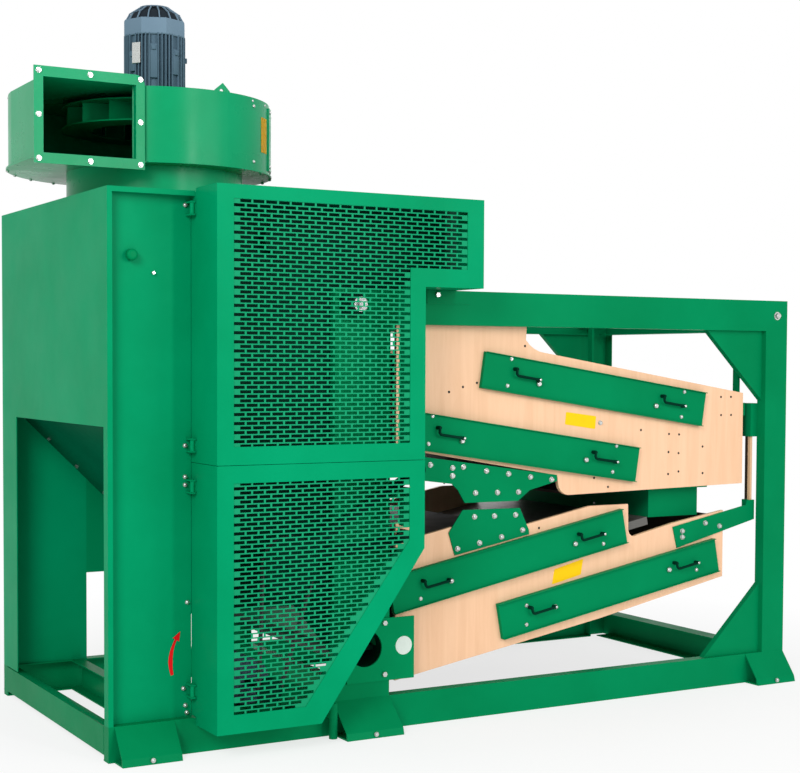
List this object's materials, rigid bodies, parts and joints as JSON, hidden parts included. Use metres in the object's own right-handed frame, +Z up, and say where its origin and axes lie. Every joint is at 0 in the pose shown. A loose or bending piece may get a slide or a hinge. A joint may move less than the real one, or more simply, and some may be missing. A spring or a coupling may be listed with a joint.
{
  "type": "grain pre-cleaner",
  "caption": "Steel frame with an aspirator chamber and fan at one end, mesh guards over the drive, and two hanging plywood screen shoes with lift-off covers.",
  "frame": {"origin": "floor level, in the middle of the rectangle of the four corner feet's anchor holes", "axes": "+X along the machine from the aspirator to the outlet end, +Y from the guarded front to the back, +Z up"},
  "size_m": [3.546, 1.749, 2.985],
  "materials": {
    "green_paint": "satin",
    "plywood": "satin",
    "slate_paint": "satin",
    "zinc": "satin",
    "black_fittings": "satin",
    "belt_rubber": "matte",
    "bare_steel": "satin"
  },
  "bodies": {
    "frame": {"base_frame": "green_paint", "top_frame": "green_paint", "right_posts": "green_paint", "middle_columns": "green_paint", "gussets": "green_paint", "feet": "green_paint", "frame_bolts": "zinc", "front_wall": "green_paint", "back_wall": "green_paint", "left_panel": "green_paint", "chamber_sides": "green_paint", "hopper_floor": "green_paint", "chamber_top": "green_paint", "feed_box": "green_paint", "auger_trough": "green_paint", "gearmotors": "slate_paint", "drive_motor": "slate_paint", "drive_belt": "belt_rubber", "drive_bearings": "green_paint", "rear_guard": "green_paint", "frame_hangers": "green_paint", "fan_scroll": "green_paint", "fan_bottom": "green_paint", "fan_top": "green_paint", "outlet_flange": "green_paint", "fan_motor": "slate_paint", "motor_cowl": "slate_paint"},
    "air_valve": {"air_valve": "bare_steel"},
    "feed_roller": {"feed_roller": "bare_steel"},
    "cross_auger": {"cross_auger": "bare_steel"},
    "eccentric_shaft": {"eccentric_shaft": "bare_steel"},
    "motor_pulley": {"motor_pulley": "bare_steel"},
    "impeller": {"impeller": "green_paint"},
    "upper_guard": {"upper_guard": "green_paint", "upper_grille": "green_paint"},
    "lower_guard": {"lower_guard": "green_paint", "lower_grille": "green_paint"},
    "upper_shoe": {"upper_shoe": "plywood", "upper_screens": "bare_steel", "upper_brackets": "green_paint", "upper_shoe_bolts": "zinc", "upper_rods": "bare_steel"},
    "lower_shoe": {"lower_shoe": "plywood", "lower_screens": "bare_steel", "lower_brackets": "green_paint", "lower_shoe_bolts": "zinc", "lower_rods": "bare_steel"},
    "upper_left_leaves": {"upper_left_leaves": "plywood"},
    "upper_right_leaves": {"upper_right_leaves": "plywood"},
    "lower_left_leaves": {"lower_left_leaves": "plywood"},
    "lower_right_leaves": {"lower_right_leaves": "plywood"},
    "cover_1": {"screen_cover_1": "green_paint", "cover_fittings_1": "black_fittings"},
    "cover_2": {"screen_cover_2": "green_paint", "cover_fittings_2": "black_fittings"},
    "cover_3": {"screen_cover_3": "green_paint", "cover_fittings_3": "black_fittings"},
    "cover_4": {"screen_cover_4": "green_paint", "cover_fittings_4": "black_fittings"}
  },
  "joints": [
    {"name": "air_valve_turn", "type": "hinge", "parent": "frame", "child": "air_valve", "pos_m": [-1.58875, 0, 1.898], "axis": [0, 1, 0], "range_deg": [-80, 80]},
    {"name": "feed_roller_spin", "type": "hinge", "parent": "frame", "child": "feed_roller", "pos_m": [-0.68075, 0, 1.731], "axis": [0, 1, 0], "continuous": true},
    {"name": "cross_auger_spin", "type": "hinge", "parent": "frame", "child": "cross_auger", "pos_m": [-0.60575, 0, 0.338], "axis": [0, 1, 0], "continuous": true},
    {"name": "eccentric_spin", "type": "hinge", "parent": "frame", "child": "eccentric_shaft", "pos_m": [-1.00975, 0, 0.718], "axis": [0, 1, 0], "continuous": true},
    {"name": "motor_pulley_spin", "type": "hinge", "parent": "frame", "child": "motor_pulley", "pos_m": [-1.09475, -0.705, 0.24], "axis": [0, 1, 0], "continuous": true},
    {"name": "impeller_spin", "type": "hinge", "parent": "frame", "child": "impeller", "pos_m": [-1.23675, 0, 2.45], "axis": [0, 0, 1], "continuous": true},
    {"name": "upper_guard_swing", "type": "hinge", "parent": "frame", "child": "upper_guard", "pos_m": [-1.35875, -0.713, 1.6], "axis": [0, 0, -1], "range_deg": [0, 90]},
    {"name": "lower_guard_swing", "type": "hinge", "parent": "frame", "child": "lower_guard", "pos_m": [-1.35875, -0.713, 0.6], "axis": [0, 0, -1], "range_deg": [0, 90]},
    {"name": "upper_shoe_slide", "type": "slide", "parent": "frame", "child": "upper_shoe", "axis": [1, 0, 0], "range_m": [-0.008, 0.008]},
    {"name": "lower_shoe_slide", "type": "slide", "parent": "frame", "child": "lower_shoe", "axis": [1, 0, 0], "range_m": [-0.008, 0.008]},
    {"name": "upper_left_leaf_swing", "type": "hinge", "parent": "frame", "child": "upper_left_leaves", "pos_m": [-0.10075, 0, 1.732], "axis": [0, 1, 0], "range_deg": [-2.32, 2.32]},
    {"name": "upper_right_leaf_swing", "type": "hinge", "parent": "frame", "child": "upper_right_leaves", "pos_m": [1.47025, 0, 1.732], "axis": [0, 1, 0], "range_deg": [-1.08, 1.08]},
    {"name": "lower_left_leaf_swing", "type": "hinge", "parent": "frame", "child": "lower_left_leaves", "pos_m": [-0.45775, 0, 0.98], "axis": [0, 1, 0], "range_deg": [-1.36, 1.36]},
    {"name": "lower_right_leaf_swing", "type": "hinge", "parent": "frame", "child": "lower_right_leaves", "pos_m": [1.51125, 0, 1.192], "axis": [0, 1, 0], "range_deg": [-1.25, 1.25]},
    {"name": "cover_1_lift_off", "type": "slide", "parent": "upper_shoe", "child": "cover_1", "axis": [0, -1, 0], "range_m": [0, 0.25]},
    {"name": "cover_2_lift_off", "type": "slide", "parent": "upper_shoe", "child": "cover_2", "axis": [0, -1, 0], "range_m": [0, 0.25]},
    {"name": "cover_3_lift_off", "type": "slide", "parent": "lower_shoe", "child": "cover_3", "axis": [0, -1, 0], "range_m": [0, 0.25]},
    {"name": "cover_4_lift_off", "type": "slide", "parent": "lower_shoe", "child": "cover_4", "axis": [0, -1, 0], "range_m": [0, 0.25]}
  ],
  "couplings": [
    {"joint": "motor_pulley_spin", "follows": "eccentric_spin", "ratio": 2.6625},
    {"joint": "lower_shoe_slide", "follows": "upper_shoe_slide", "ratio": -1},
    {"joint": "upper_left_leaf_swing", "follows": "upper_shoe_slide", "rad_per_m": -4.9505},
    {"joint": "upper_right_leaf_swing", "follows": "upper_shoe_slide", "rad_per_m": -2.2523},
    {"joint": "lower_left_leaf_swing", "follows": "upper_shoe_slide", "rad_per_m": 2.8571},
    {"joint": "lower_right_leaf_swing", "follows": "upper_shoe_slide", "rad_per_m": 2.6247}
  ]
}
